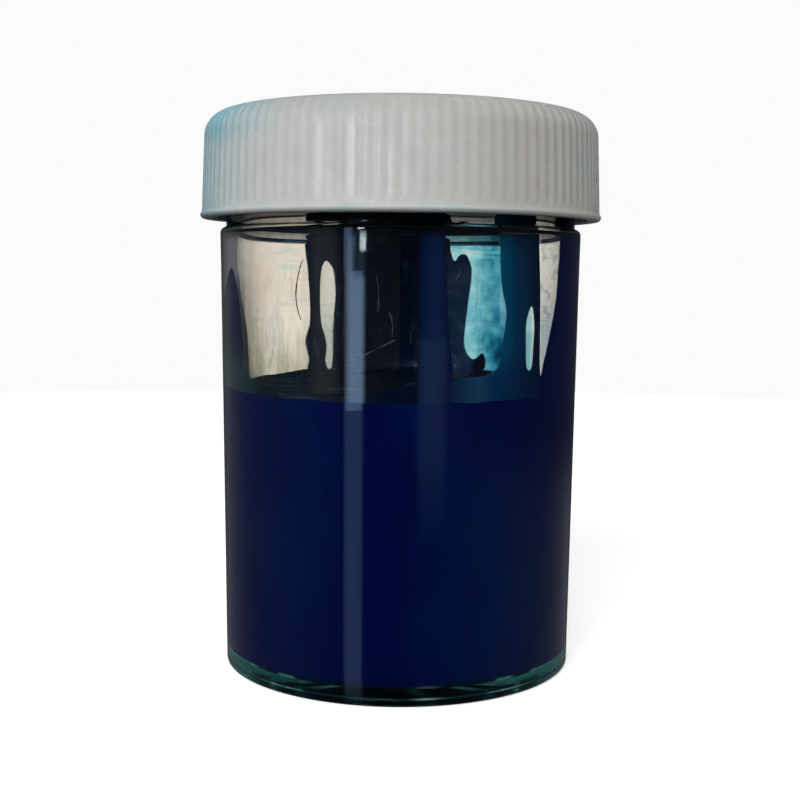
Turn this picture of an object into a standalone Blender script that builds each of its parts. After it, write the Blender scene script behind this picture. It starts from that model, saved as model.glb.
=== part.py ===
"""Screw-top paint jar: a clear moulded jar, a ribbed cap with its foam liner, thick paint in
the lower half, and the coats that the paint left on the wall above it.

Frame: +Z up, the jar's axis is Z, the origin is the middle of the base it stands on.
The front of the jar faces -Y. Run with: blender --background --python part.py
"""
import math

import bmesh
import bpy
from mathutils import Matrix

MM = 0.001
TURN = math.tau

# Jar: a straight tumbler with a little draft, sized by its height and its shoulder.
NECK_TOP_Z = 67.35 * MM
SHOULDER_Z = 55.1 * MM
SHOULDER_R = 23.0 * MM
BASE_R = 22.33 * MM
WALL = 2.0 * MM
NECK_R = 22.25 * MM
NECK_BORE_R = 20.3 * MM
NECK_BORE_Z = 54.9 * MM
FLOOR_Z = 1.8 * MM
PUSH_UP = 0.5 * MM
BEARING_R = 17.5 * MM
HEEL_R = 0.4 * MM
FLOOR_FILLET = 1.0 * MM
RIM_FILLET = 0.4 * MM
JAR_STEPS = 64

# Thread: right-handed, six turns to the inch, shared by the jar and the cap.
THREAD_PITCH = 25.4 / 6 * MM
JAR_CREST_R = 23.45 * MM
JAR_RIDGE_Z = 60.9 * MM
JAR_RIDGE_TURNS = 1.2
JAR_RIDGE_BASE = 2.2 * MM
JAR_RIDGE_CREST = 0.9 * MM
CAP_CREST_R = 22.85 * MM
CAP_RIDGE_DROP = 2.0 * MM
CAP_RIDGE_TURNS = 1.0
CAP_RIDGE_BASE = 1.5 * MM
CAP_RIDGE_CREST = 0.6 * MM
RIDGE_SINK = 0.3 * MM
RIDGE_FADE = math.radians(30)
RIDGE_STEPS_PER_TURN = 40

# Cap: a closure of 13.2 mm with rounded ribs between the top corner and the bottom flange.
CAP_TOP_Z = 70.1 * MM
CAP_HEIGHT = 13.2 * MM
CAP_BOTTOM_Z = CAP_TOP_Z - CAP_HEIGHT
CAP_TOP_R = 24.98 * MM
CAP_LOW_R = 25.29 * MM
CAP_CORNER = 3.0 * MM
CAP_PLATE = 1.2 * MM
CAP_BORE_LOW_R = 23.9 * MM
CAP_BORE_TOP_R = 23.75 * MM
FLANGE_R = 25.55 * MM
FLANGE_HEIGHT = 1.3 * MM
FLANGE_FILLET = 0.3 * MM
RIB_COUNT = 102
FLUTE_R = 0.6 * MM
FLUTE_DEPTH = 0.35 * MM
FLUTE_SIDES = 8

# Liner, paint and coats. Each keeps this gap to what it lies on.
GAP = 0.3 * MM
LINER_R = 23.3 * MM
LINER_Z = NECK_TOP_Z + GAP
LINER_TOP_Z = CAP_TOP_Z - CAP_PLATE - GAP
PAINT_Z = 35.6 * MM
MENISCUS_RISE = 0.8 * MM
MENISCUS_REACH = 1.6 * MM
COAT = 0.5 * MM
COAT_LOW_Z = 36.9 * MM
COAT_STEP = math.radians(6)
SOFT_STEPS = 48

# Each coat: name, the middle of its arc seen from above (degrees from +X), its arc and its top.
COATS = (
    ("coat_back", 90.0, 56.0, 54.5 * MM),
    ("drip_back", 127.0, 6.5, 54.5 * MM),
    ("coat_left", -168.0, 36.0, 49.5 * MM),
    ("coat_front", -79.8, 8.6, 54.5 * MM),
    ("coat_front_right", -48.0, 15.0, 54.5 * MM),
    ("coat_right", -8.5, 53.0, 54.5 * MM),
)
SMOOTH_UNDER = math.radians(35)


def clear_scene():
    """Remove what the scene holds, so that the model stands alone."""
    for obj in list(bpy.data.objects):
        bpy.data.objects.remove(obj, do_unlink=True)


def new_collection(name):
    """A collection in the scene, for the parts or for the cutters."""
    collection = bpy.data.collections.new(name)
    bpy.context.scene.collection.children.link(collection)
    return collection


def plastic(name, colour, roughness, alpha=1.0, transmission=0.0):
    """A Principled material; nothing on the jar is metal."""
    material = bpy.data.materials.new(name)
    material.use_nodes = True
    shader = material.node_tree.nodes["Principled BSDF"]
    shader.inputs["Base Color"].default_value = (*colour, 1.0)
    shader.inputs["Roughness"].default_value = roughness
    shader.inputs["Metallic"].default_value = 0.0
    shader.inputs["Alpha"].default_value = alpha
    shader.inputs["Transmission Weight"].default_value = transmission
    return material


def arc(centre, radius, start, end, steps):
    """Profile points (r, z) along an arc, with its angles in degrees from +r towards +z."""
    points = []
    for i in range(steps + 1):
        angle = math.radians(start + (end - start) * i / steps)
        points.append((centre[0] + radius * math.cos(angle), centre[1] + radius * math.sin(angle)))
    return points


def between(low, high, z):
    """The radius at height z on a straight wall through two (r, z) points."""
    return low[0] + (high[0] - low[0]) * (z - low[1]) / (high[1] - low[1])


def jar_bore_radius(z):
    """The inner wall's radius, parallel to the drafted outer wall."""
    return between((BASE_R - WALL, 0.0), (SHOULDER_R - WALL, SHOULDER_Z), z)


def turned(name, profile, steps, collection, angle=TURN):
    """Turn a profile about Z. It runs down the outer side, so that the faces point out."""
    mesh = bpy.data.meshes.new(name)
    mesh.from_pydata([(r, 0.0, z) for r, z in profile], [(i, i + 1) for i in range(len(profile) - 1)], [])
    obj = bpy.data.objects.new(name, mesh)
    collection.objects.link(obj)
    screw = obj.modifiers.new("turn", "SCREW")
    screw.axis = "Z"
    screw.angle = angle
    screw.steps = steps
    screw.render_steps = steps
    screw.use_merge_vertices = True
    screw.merge_threshold = 0.00001
    return obj


def combine(obj, other, operation):
    """Join or cut a part with a helper that isn't a part itself."""
    boolean = obj.modifiers.new(other.name, "BOOLEAN")
    boolean.object = other
    boolean.operation = operation
    boolean.solver = "EXACT"
    other.hide_render = True
    other.display_type = "WIRE"


def settle(obj, material):
    """Apply the modifiers, shade the round walls smooth and give the part its material."""
    graph = bpy.context.evaluated_depsgraph_get()
    mesh = bpy.data.meshes.new_from_object(obj.evaluated_get(graph))
    mesh.name = obj.name
    mesh.shade_smooth()
    mesh.set_sharp_from_angle(angle=SMOOTH_UNDER)
    mesh.materials.clear()
    mesh.materials.append(material)
    obj.modifiers.clear()
    obj.data = mesh


def helical_ridge(name, wall_r, crest_r, base, crest, start_z, turns, collection):
    """A thread ridge lofted along a right-handed helix, fading into the wall at both ends.

    Its root lies RIDGE_SINK inside the wall, which is inside or outside the crest.
    """
    root_r = wall_r - math.copysign(RIDGE_SINK, crest_r - wall_r)
    sunk_r = 0.5 * (root_r + wall_r)
    sections = round(RIDGE_STEPS_PER_TURN * turns)
    work = bmesh.new()
    rings = []
    for i in range(sections + 1):
        angle = turns * TURN * i / sections
        z = start_z + THREAD_PITCH * angle / TURN
        full = min(1.0, angle / RIDGE_FADE, (turns * TURN - angle) / RIDGE_FADE)
        tip_r = sunk_r + (crest_r - sunk_r) * full
        corners = ((root_r, -base / 2), (root_r, base / 2), (tip_r, crest / 2), (tip_r, -crest / 2))
        rings.append([
            work.verts.new((r * math.cos(angle), r * math.sin(angle), z + dz)) for r, dz in corners
        ])
    for ring, following in zip(rings, rings[1:]):
        for k in range(4):
            work.faces.new((ring[k], ring[(k + 1) % 4], following[(k + 1) % 4], following[k]))
    work.faces.new(rings[0])
    work.faces.new(rings[-1])
    bmesh.ops.recalc_face_normals(work, faces=work.faces)
    mesh = bpy.data.meshes.new(name)
    work.to_mesh(mesh)
    work.free()
    obj = bpy.data.objects.new(name, mesh)
    collection.objects.link(obj)
    return obj


def flutes(name, collection):
    """Slim rods around the cap, leaning with its wall, that cut the grooves between its ribs."""
    low_z = CAP_BOTTOM_Z + FLANGE_HEIGHT
    lean = math.atan2(CAP_LOW_R - CAP_TOP_R, CAP_TOP_Z - CAP_CORNER - low_z)
    length = CAP_TOP_Z - low_z
    work = bmesh.new()
    for i in range(RIB_COUNT):
        turn = Matrix.Rotation(TURN * i / RIB_COUNT, 4, "Z")
        foot = Matrix.Translation((CAP_LOW_R + FLUTE_R - FLUTE_DEPTH, 0.0, low_z))
        tilt = Matrix.Rotation(-lean, 4, "Y")
        raise_half = Matrix.Translation((0.0, 0.0, length / 2))
        bmesh.ops.create_cone(
            work,
            cap_ends=True,
            segments=FLUTE_SIDES,
            radius1=FLUTE_R,
            radius2=FLUTE_R,
            depth=length,
            matrix=turn @ foot @ tilt @ raise_half,
        )
    mesh = bpy.data.meshes.new(name)
    work.to_mesh(mesh)
    work.free()
    obj = bpy.data.objects.new(name, mesh)
    collection.objects.link(obj)
    return obj


def make_jar(parts, helpers):
    """Clear jar: one wall thickness from the pushed-up base to the threaded neck."""
    shoulder_corner = SHOULDER_R - NECK_R
    bore_r = jar_bore_radius(FLOOR_Z)
    profile = [(0.0, FLOOR_Z)]
    profile += arc((bore_r - FLOOR_FILLET, FLOOR_Z + FLOOR_FILLET), FLOOR_FILLET, -90, 0, 3)
    profile += [(jar_bore_radius(NECK_BORE_Z), NECK_BORE_Z)]
    profile += [(NECK_BORE_R, NECK_BORE_Z + (SHOULDER_R - WALL - NECK_BORE_R) / 2)]
    profile += arc((NECK_BORE_R + RIM_FILLET, NECK_TOP_Z - RIM_FILLET), RIM_FILLET, 180, 90, 2)
    profile += arc((NECK_R - RIM_FILLET, NECK_TOP_Z - RIM_FILLET), RIM_FILLET, 90, 0, 2)
    profile += arc((NECK_R, SHOULDER_Z), shoulder_corner, 90, 0, 3)
    profile += arc((BASE_R - HEEL_R, HEEL_R), HEEL_R, 0, -90, 2)
    profile += [(BEARING_R, 0.0), (BEARING_R - PUSH_UP, PUSH_UP), (0.0, PUSH_UP)]
    jar = turned("jar_body", profile, JAR_STEPS, parts)
    thread = helical_ridge(
        "jar_thread", NECK_R, JAR_CREST_R, JAR_RIDGE_BASE, JAR_RIDGE_CREST,
        JAR_RIDGE_Z, JAR_RIDGE_TURNS, helpers,
    )
    combine(jar, thread, "UNION")
    settle(jar, plastic("clear_polystyrene", (0.88, 0.95, 0.95), 0.05, alpha=0.35, transmission=0.9))
    return jar


def make_cap(parts, helpers):
    """White cap: a turned blank, fluted outside, with a thread ridge inside."""
    low_z = CAP_BOTTOM_Z + FLANGE_HEIGHT
    plate_z = CAP_TOP_Z - CAP_PLATE
    profile = [(0.0, CAP_TOP_Z)]
    profile += arc((CAP_TOP_R - CAP_CORNER, CAP_TOP_Z - CAP_CORNER), CAP_CORNER, 90, 0, 5)
    profile += [(CAP_LOW_R, low_z), (FLANGE_R, low_z - FLANGE_FILLET)]
    profile += arc((FLANGE_R - FLANGE_FILLET, CAP_BOTTOM_Z + FLANGE_FILLET), FLANGE_FILLET, 0, -90, 2)
    profile += [(CAP_BORE_LOW_R, CAP_BOTTOM_Z), (CAP_BORE_TOP_R, plate_z), (0.0, plate_z)]
    cap = turned("screw_cap", profile, RIB_COUNT, parts)
    combine(cap, flutes("cap_flutes", helpers), "DIFFERENCE")
    ridge_z = JAR_RIDGE_Z - CAP_RIDGE_DROP
    wall_r = between((CAP_BORE_LOW_R, CAP_BOTTOM_Z), (CAP_BORE_TOP_R, plate_z), ridge_z)
    thread = helical_ridge(
        "cap_thread", wall_r, CAP_CREST_R, CAP_RIDGE_BASE, CAP_RIDGE_CREST,
        ridge_z, CAP_RIDGE_TURNS, helpers,
    )
    combine(cap, thread, "UNION")
    settle(cap, plastic("white_polypropylene", (0.62, 0.62, 0.60), 0.38))
    return cap


def make_liner(parts):
    """Foam disc that seals the neck's rim inside the cap."""
    profile = [(0.0, LINER_TOP_Z), (LINER_R, LINER_TOP_Z), (LINER_R, LINER_Z), (0.0, LINER_Z)]
    liner = turned("cap_liner", profile, SOFT_STEPS, parts)
    settle(liner, plastic("white_foam", (0.80, 0.80, 0.78), 0.70))
    return liner


def make_paint(parts):
    """Thick blue paint that fills the lower jar and climbs a little where it meets the wall."""
    floor_z = FLOOR_Z + GAP
    edge_z = PAINT_Z + MENISCUS_RISE
    edge_r = jar_bore_radius(edge_z) - GAP
    foot_r = jar_bore_radius(floor_z) - GAP
    profile = [(0.0, PAINT_Z), (edge_r - MENISCUS_REACH, PAINT_Z)]
    profile += [(edge_r - MENISCUS_REACH / 3, PAINT_Z + MENISCUS_RISE / 3), (edge_r, edge_z)]
    profile += arc((foot_r - FLOOR_FILLET, floor_z + FLOOR_FILLET), FLOOR_FILLET, 0, -90, 3)
    profile += [(0.0, floor_z)]
    paint = turned("paint_fill", profile, SOFT_STEPS, parts)
    settle(paint, plastic("navy_paint", (0.003, 0.010, 0.055), 0.30))
    return paint


def make_coat(name, middle, span, top_z, material, parts):
    """A coat of paint left on the wall: an arc of the wall's surface given a thickness."""
    steps = max(2, round(math.radians(span) / COAT_STEP))
    profile = [
        (jar_bore_radius(top_z) - GAP, top_z),
        (jar_bore_radius(COAT_LOW_Z) - GAP, COAT_LOW_Z),
    ]
    coat = turned(name, profile, steps, parts, angle=math.radians(span))
    shell = coat.modifiers.new("thickness", "SOLIDIFY")
    shell.thickness = COAT
    shell.offset = -1.0
    settle(coat, material)
    coat.rotation_euler.z = math.radians(middle - span / 2)
    return coat


def main():
    """Build the jar and gather its parts under one empty."""
    clear_scene()
    parts = new_collection("paint_jar")
    helpers = new_collection("cutters")
    base = bpy.data.objects.new("jar_base", None)
    parts.objects.link(base)
    jar = make_jar(parts, helpers)
    cap = make_cap(parts, helpers)
    liner = make_liner(parts)
    paint = make_paint(parts)
    dried = plastic("dried_navy_paint", (0.003, 0.009, 0.045), 0.35)
    coats = [make_coat(*coat, dried, parts) for coat in COATS]
    for part in (jar, cap, liner, paint, *coats):
        part.parent = base


main()
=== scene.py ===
"""Looks of the screw-top paint jar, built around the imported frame.

Metres, +Z up. The front of the jar faces -Y. A bearing is an angle in degrees seen from above,
0 at the front and 90 at the jar's right (+X), so 180 is the back.
"""
import math

import bpy
import numpy as np
from mathutils import Matrix, Vector, noise


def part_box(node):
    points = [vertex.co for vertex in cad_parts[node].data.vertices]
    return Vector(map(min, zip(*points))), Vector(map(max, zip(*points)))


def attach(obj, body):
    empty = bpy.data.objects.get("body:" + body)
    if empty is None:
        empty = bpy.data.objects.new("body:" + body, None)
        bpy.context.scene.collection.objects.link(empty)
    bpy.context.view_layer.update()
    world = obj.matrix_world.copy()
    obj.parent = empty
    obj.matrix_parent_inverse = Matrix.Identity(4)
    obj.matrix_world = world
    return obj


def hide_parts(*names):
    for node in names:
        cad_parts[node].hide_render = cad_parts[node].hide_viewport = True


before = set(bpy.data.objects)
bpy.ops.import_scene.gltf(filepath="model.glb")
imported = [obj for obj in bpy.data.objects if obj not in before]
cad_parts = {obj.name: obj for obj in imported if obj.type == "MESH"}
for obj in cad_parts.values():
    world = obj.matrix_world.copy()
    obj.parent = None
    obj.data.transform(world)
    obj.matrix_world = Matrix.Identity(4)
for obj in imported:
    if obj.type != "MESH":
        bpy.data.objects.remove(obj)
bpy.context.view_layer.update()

MM = 0.001
TURN = math.tau

# Heights and radii come from the frame where it states them.
JAR_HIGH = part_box("jar_body")[1]
CAP_LOW, CAP_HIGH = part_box("screw_cap")
LINER_LOW, LINER_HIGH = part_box("cap_liner")
NECK_TOP_Z = JAR_HIGH[2]
CAP_BOTTOM_Z = CAP_LOW[2]
CAP_TOP_Z = CAP_HIGH[2]
FLANGE_R = min(CAP_HIGH[0], CAP_HIGH[1]) - 0.01 * MM

# Jar wall, as in the CAD model.
SHOULDER_Z = 55.1 * MM
SHOULDER_R = 23.0 * MM
BASE_R = 22.33 * MM
WALL = 2.0 * MM
NECK_R = 22.25 * MM
NECK_BORE_R = 20.3 * MM
NECK_BORE_Z = 54.9 * MM
NECK_STEP = 0.35 * MM
FLOOR_Z = 1.8 * MM
PUSH_UP = 0.5 * MM
BEARING_R = 17.5 * MM
HEEL_R = 0.45 * MM
FLOOR_FILLET = 1.0 * MM
RIM_FILLET = 0.4 * MM
JAR_COLUMNS = 240

# Thread: six turns to the inch, right-handed.
THREAD_PITCH = 25.4 / 6 * MM
JAR_RIDGE = dict(start_z=60.9 * MM, turns=1.2, crest_r=23.45 * MM, base=2.2 * MM, crest=0.9 * MM)
CAP_RIDGE = dict(start_z=58.9 * MM, turns=1.0, crest_r=22.85 * MM, base=1.5 * MM, crest=0.6 * MM)
RIDGE_FADE = math.radians(30)
THREAD_ROW = 0.15 * MM

# Cap.
CAP_TOP_R = 24.98 * MM
CAP_LOW_R = 25.29 * MM
CAP_CORNER = 3.0 * MM
CAP_PLATE = 1.2 * MM
CAP_BORE_LOW_R = 23.9 * MM
CAP_BORE_TOP_R = 23.75 * MM
FLANGE_HEIGHT = 1.3 * MM
RIB_COUNT = 102
RIB_DEPTH = 0.12 * MM
RIB_RUN_OUT = 66.0
RIB_START = 0.8 * MM
RIB_COLUMNS = 8

# Paint.
PAINT_Z = 35.5 * MM
PAINT_LEAN = 0.3 * MM
MENISCUS_RISE = 0.8 * MM
MENISCUS_REACH = 0.7 * MM
# The paint and the coats bite this far into the wall, the paint a little further, so that its
# side covers the coats' feet.
BITE = 0.05 * MM
PAINT_BITE = 0.07 * MM
PAINT_COLUMNS = 192
PAINT_RINGS = 56

# A coat's outline is on a grid of this spacing, unrolled at this height; its film is this thick
# away from its edge.
COAT_CELL = 0.20 * MM
UNROLL_Z = 45 * MM
COAT_FILM = 0.35 * MM
COAT_EDGE = 0.7 * MM
BEAD_DEPTH = 0.9 * MM
BEAD_WIDTH = 0.7 * MM


# ---------------------------------------------------------------- shapes

def arc(centre, radius, start, end, steps):
    """Profile points (r, z) along an arc, its angles in degrees from +r towards +z."""
    points = []
    for i in range(steps + 1):
        angle = math.radians(start + (end - start) * i / steps)
        points.append((centre[0] + radius * math.cos(angle), centre[1] + radius * math.sin(angle)))
    return points


def rows(low, high, spacing):
    """Profile points from one (r, z) to another at about this spacing, without the ends."""
    count = max(1, math.ceil(math.dist(low, high) / spacing))
    return [
        (low[0] + (high[0] - low[0]) * i / count, low[1] + (high[1] - low[1]) * i / count)
        for i in range(1, count)
    ]


def between(low, high, z):
    """The radius at height z on a straight wall through two (r, z) points."""
    return low[0] + (high[0] - low[0]) * (z - low[1]) / (high[1] - low[1])


def drafted_bore(z):
    """The inner wall's radius below the shoulder."""
    return between((BASE_R - WALL, 0.0), (SHOULDER_R - WALL, SHOULDER_Z), z)


def bore_radius(z):
    """The jar's inner wall at height z, with the step into the neck."""
    step_end = NECK_BORE_Z + NECK_STEP
    if z <= NECK_BORE_Z:
        return drafted_bore(z)
    if z >= step_end:
        return NECK_BORE_R
    return between((drafted_bore(NECK_BORE_Z), NECK_BORE_Z), (NECK_BORE_R, step_end), z)


def at_bearing(bearing, r, z):
    """The point at a bearing in degrees, a radius and a height."""
    angle = math.radians(bearing)
    return (r * math.sin(angle), -r * math.cos(angle), z)


def linked(name, data):
    """A new object in the scene that holds this mesh, curve, light or camera."""
    obj = bpy.data.objects.new(name, data)
    bpy.context.scene.collection.objects.link(obj)
    return obj


def object_from(name, vertices, faces):
    """A mesh object from vertices and faces."""
    mesh = bpy.data.meshes.new(name)
    mesh.from_pydata([tuple(v) for v in vertices], [], faces)
    mesh.update()
    return linked(name, mesh)


def shade(obj, sharp_over=40.0):
    """Smooth shading that keeps the corners sharper than an angle in degrees."""
    obj.data.shade_smooth()
    obj.data.set_sharp_from_angle(angle=math.radians(sharp_over))


def turned(name, profile, columns, move=None):
    """Turn a profile about Z, down the outer side first. move(r, z, angles) gives each ring's
    radii and heights where it isn't a plain circle."""
    angles = np.arange(columns) * TURN / columns
    vertices, rings = [], []
    for r, z in profile:
        start = len(vertices)
        if r < 1e-7:
            height = z if move is None else float(np.mean(move(r, z, angles)[1]))
            vertices.append((0.0, 0.0, height))
            rings.append([start])
            continue
        radii, heights = (r, z) if move is None else move(r, z, angles)
        radii = np.broadcast_to(radii, angles.shape)
        heights = np.broadcast_to(heights, angles.shape)
        ring = np.stack([radii * np.cos(angles), radii * np.sin(angles), heights], axis=1)
        vertices.extend(ring.tolist())
        rings.append(list(range(start, start + columns)))
    faces = []
    for upper, lower in zip(rings, rings[1:]):
        for j in range(columns):
            k = (j + 1) % columns
            if len(upper) == 1:
                faces.append((upper[0], lower[j], lower[k]))
            elif len(lower) == 1:
                faces.append((upper[j], lower[0], upper[k]))
            else:
                faces.append((upper[j], lower[j], lower[k], upper[k]))
    return object_from(name, vertices, faces)


def ridge_share(z, angles, start_z, turns, base, crest, **_):
    """How far a thread ridge stands out, from 0 at the wall to 1 at its crest, around one ring."""
    share = np.zeros_like(angles)
    for lap in range(math.ceil(turns)):
        along = angles + lap * TURN
        left = turns * TURN - along
        fade = np.clip(np.minimum(along, left) / RIDGE_FADE, 0.0, 1.0)
        off = np.abs(z - start_z - THREAD_PITCH * along / TURN)
        flank = np.clip((base / 2 - off) / (base / 2 - crest / 2), 0.0, 1.0)
        share = np.maximum(share, np.sqrt(fade) * flank * flank * (3 - 2 * flank))
    return share


def spline(points, steps=10):
    """A closed Catmull-Rom curve through an outline's points."""
    closed = np.array(points, float)
    count = len(closed)
    curve = []
    for i in range(count):
        p0, p1, p2, p3 = (closed[(i + k) % count] for k in (-1, 0, 1, 2))
        for step in range(steps):
            t = step / steps
            curve.append(0.5 * (
                2 * p1 + (p2 - p0) * t + (2 * p0 - 5 * p1 + 4 * p2 - p3) * t * t
                + (3 * p1 - p0 - 3 * p2 + p3) * t ** 3
            ))
    return np.array(curve)


def depth_inside(points, outline):
    """Distance from each point to a closed outline, positive inside it."""
    ends = np.roll(outline, -1, axis=0)
    best = np.full(len(points), np.inf)
    inside = np.zeros(len(points), bool)
    for a, b in zip(outline, ends):
        along = b - a
        reach = max(float(along @ along), 1e-18)
        t = np.clip(((points - a) @ along) / reach, 0.0, 1.0)
        best = np.minimum(best, np.linalg.norm(points - a - t[:, None] * along, axis=1))
        crosses = (a[1] > points[:, 1]) != (b[1] > points[:, 1])
        rise = along[1] if abs(along[1]) > 1e-18 else 1e-18
        inside ^= crosses & (points[:, 0] < a[0] + (points[:, 1] - a[1]) * along[0] / rise)
    return np.where(inside, best, -best)


def unroll(outline):
    """An outline in (bearing, height in mm) as (arc length, height) in metres on the wall."""
    mean_r = drafted_bore(UNROLL_Z)
    return np.array([(math.radians(b) * mean_r, z * MM) for b, z in outline])


def coat_ripple(s, z, seed):
    """How much thicker or thinner a coat is at a point, as a factor: runs, folds and grain."""
    runs = noise.noise(Vector((s / (3.0 * MM) + seed, z / (6.0 * MM), seed)))
    folds = noise.noise(Vector((s / (1.1 * MM), z / (2.4 * MM) + seed, seed)))
    return 1.0 + 0.40 * runs + 0.5 * folds * abs(folds)


def coat(name, outline, holes=(), bead=0.0, seed=0.0):
    """A coat of paint on the bore: a film inside a smooth outline, with a bead along its edge,
    closed on the wall side by a face that bites a little into the clear wall, so the two touch."""
    edge = spline(unroll(outline))
    low, high = edge.min(axis=0) - COAT_CELL, edge.max(axis=0) + COAT_CELL
    across = int(math.ceil((high[0] - low[0]) / COAT_CELL)) + 1
    up = int(math.ceil((high[1] - low[1]) / COAT_CELL)) + 1
    s = low[0] + np.arange(across) * COAT_CELL
    z = low[1] + np.arange(up) * COAT_CELL
    nodes = np.stack(np.meshgrid(s, z, indexing="ij"), axis=-1).reshape(-1, 2)
    field = depth_inside(nodes, edge)
    for hole in holes:
        field = np.minimum(field, -depth_inside(nodes, spline(unroll(hole))))
    field = field.reshape(across, up)
    field[np.abs(field) < 0.04 * COAT_CELL] = -0.04 * COAT_CELL
    mean_r = drafted_bore(UNROLL_Z)
    vertices, faces, contact, found = [], [], [], {}

    def place(si, zi, inward):
        r = bore_radius(zi) - inward
        vertices.append(at_bearing(math.degrees(si / mean_r), r, zi))
        return len(vertices) - 1

    def node(i, j, side):
        key = (i, j, side)
        if key not in found:
            depth = field[i, j]
            ripple = coat_ripple(s[i], z[j], seed)
            thick = COAT_FILM * ripple * (1 - math.exp(-depth / COAT_EDGE))
            thick += bead * math.exp(-((depth - BEAD_DEPTH) / BEAD_WIDTH) ** 2) * ripple
            thick *= min(1.0, depth / BEAD_DEPTH) ** 0.5
            found[key] = place(s[i], z[j], thick if side else -BITE * min(1.0, depth / COAT_CELL))
        return found[key]

    def crossing(a, b):
        key = (a, b) if a < b else (b, a)
        if key not in found:
            (i, j), (k, m) = key
            t = field[i, j] / (field[i, j] - field[k, m])
            found[key] = place(s[i] + (s[k] - s[i]) * t, z[j] + (z[m] - z[j]) * t, 0.0)
        return found[key]

    for i in range(across - 1):
        for j in range(up - 1):
            corners = [(i, j), (i + 1, j), (i + 1, j + 1), (i, j + 1)]
            if max(field[c] for c in corners) <= 0:
                continue
            front, back = [], []
            for a, b in zip(corners, corners[1:] + corners[:1]):
                if field[a] > 0:
                    front.append(node(*a, 1))
                    back.append(node(*a, 0))
                if (field[a] > 0) != (field[b] > 0):
                    front.append(crossing(a, b))
                    back.append(front[-1])
            if len(front) >= 3:
                faces.append(tuple(reversed(front)))
                faces.append(tuple(back))
                contact += [0, 1]
    obj = object_from(name, vertices, faces)
    for polygon, index in zip(obj.data.polygons, contact):
        polygon.material_index = index
    obj.data.shade_smooth()
    return obj


# ---------------------------------------------------------------- node patterns

def feed(tree, socket, value):
    """Give a socket a constant, or link a field to it."""
    if isinstance(value, Field):
        tree.links.new(value.socket, socket)
    elif isinstance(value, tuple) and len(value) == 3:
        socket.default_value = (*value, 1.0)
    else:
        socket.default_value = value


class Field:
    """A number over a surface, held as a node socket, so that a pattern reads as a formula."""

    def __init__(self, tree, socket):
        self.tree = tree
        self.socket = socket

    def math(self, operation, *others):
        node = self.tree.nodes.new("ShaderNodeMath")
        node.operation = operation
        self.tree.links.new(self.socket, node.inputs[0])
        for i, other in enumerate(others, 1):
            feed(self.tree, node.inputs[i], other)
        return Field(self.tree, node.outputs[0])

    def __add__(self, other):
        return self.math("ADD", other)

    def __sub__(self, other):
        return self.math("SUBTRACT", other)

    def __mul__(self, other):
        return self.math("MULTIPLY", other)

    def most(self, other):
        return self.math("MAXIMUM", other)

    def rise(self, low, high, start=0.0, end=1.0):
        """A smooth step from start to end as this number goes from low to high."""
        node = self.tree.nodes.new("ShaderNodeMapRange")
        node.interpolation_type = "SMOOTHSTEP"
        self.tree.links.new(self.socket, node.inputs["Value"])
        for label, value in (("From Min", low), ("From Max", high), ("To Min", start), ("To Max", end)):
            node.inputs[label].default_value = value
        return Field(self.tree, node.outputs["Result"])

    def rise_evenly(self, low, high):
        """A straight climb from 0 to 1 as this number goes from low to high."""
        return ((self - low) * (1.0 / (high - low))).most(0.0).math("MINIMUM", 1.0)

    def band(self, low, high, soft):
        """1 between low and high, fading over soft on each side."""
        return self.rise(low - soft, low + soft) * self.rise(high - soft, high + soft, 1.0, 0.0)

    def ramp(self, stops):
        """A colour from a list of (position, colour)."""
        node = self.tree.nodes.new("ShaderNodeValToRGB")
        self.tree.links.new(self.socket, node.inputs["Fac"])
        elements = node.color_ramp.elements
        while len(elements) < len(stops):
            elements.new(0.5)
        for element, (position, colour) in zip(elements, stops):
            element.position = position
            element.color = (*colour, 1.0)
        return Field(self.tree, node.outputs["Color"])


def mixed(tree, share, first, second, mode="MIX"):
    """A colour mixed from two colours, each a constant or a field, by a field."""
    node = tree.nodes.new("ShaderNodeMix")
    node.data_type = "RGBA"
    node.blend_type = mode
    tree.links.new(share.socket, node.inputs[0])
    feed(tree, node.inputs[6], first)
    feed(tree, node.inputs[7], second)
    return Field(tree, node.outputs[2])


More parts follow.
